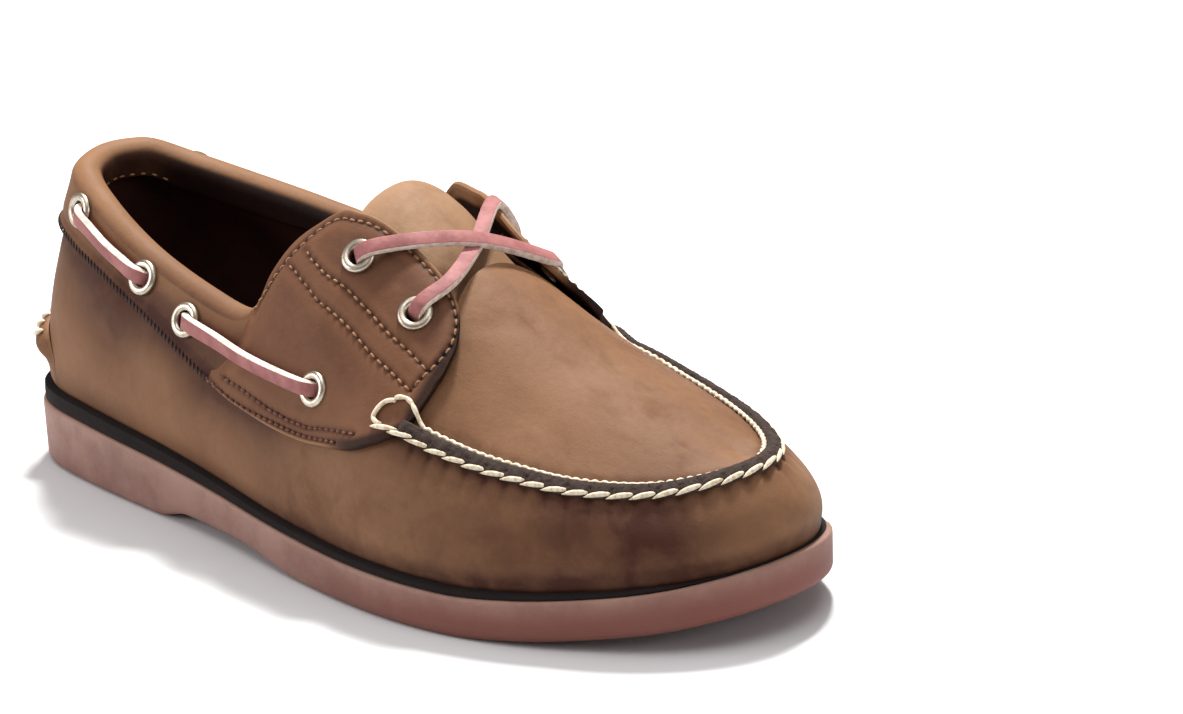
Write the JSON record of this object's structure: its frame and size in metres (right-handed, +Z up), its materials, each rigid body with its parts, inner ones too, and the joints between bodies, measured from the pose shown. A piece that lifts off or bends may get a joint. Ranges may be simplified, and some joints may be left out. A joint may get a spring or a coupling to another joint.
{
  "type": "boat shoe",
  "caption": "Low hand-sewn moccasin with a raised toe seam, side flaps, leather laces through metal eyelets and a flat rubber sole.",
  "frame": {"origin": "bottom centre of the bounding box, in the plane the sole stands on", "axes": "+X from heel to toe, +Y to the medial side, +Z up"},
  "size_m": [0.3002, 0.1136, 0.1116],
  "materials": {
    "upper_leather": "oiled nubuck, rubbed",
    "edge_leather": "raw edge",
    "lining_leather": "smooth",
    "midsole_leather": "burnished edge",
    "outsole_rubber": "satin",
    "lace_leather": "waxed face, raw edges",
    "eyelet_metal": "pale nickel"
  },
  "bodies": {
    "root": {"outsole": "outsole_rubber", "midsole": "midsole_leather", "insole": "lining_leather", "upper": "upper_leather", "tongue": "upper_leather", "collar_band": "upper_leather", "eyestay_lateral": "upper_leather", "eyestay_medial": "upper_leather", "apron_seam": "edge_leather", "heel_tab": "upper_leather", "eyelet_lateral_heel": "eyelet_metal", "eyelet_lateral_side": "eyelet_metal", "eyelet_lateral_waist": "eyelet_metal", "eyelet_lateral_flap_low": "eyelet_metal", "eyelet_lateral_flap_rear": "eyelet_metal", "eyelet_lateral_flap_front": "eyelet_metal", "eyelet_medial_heel": "eyelet_metal", "eyelet_medial_side": "eyelet_metal", "eyelet_medial_waist": "eyelet_metal", "eyelet_medial_flap_low": "eyelet_metal", "eyelet_medial_flap_rear": "eyelet_metal", "eyelet_medial_flap_front": "eyelet_metal", "lace_lateral_rear": "lace_leather", "lace_lateral_front": "lace_leather", "lace_medial_rear": "lace_leather", "lace_medial_front": "lace_leather", "lace_crossing": "lace_leather"}
  },
  "joints": []
}
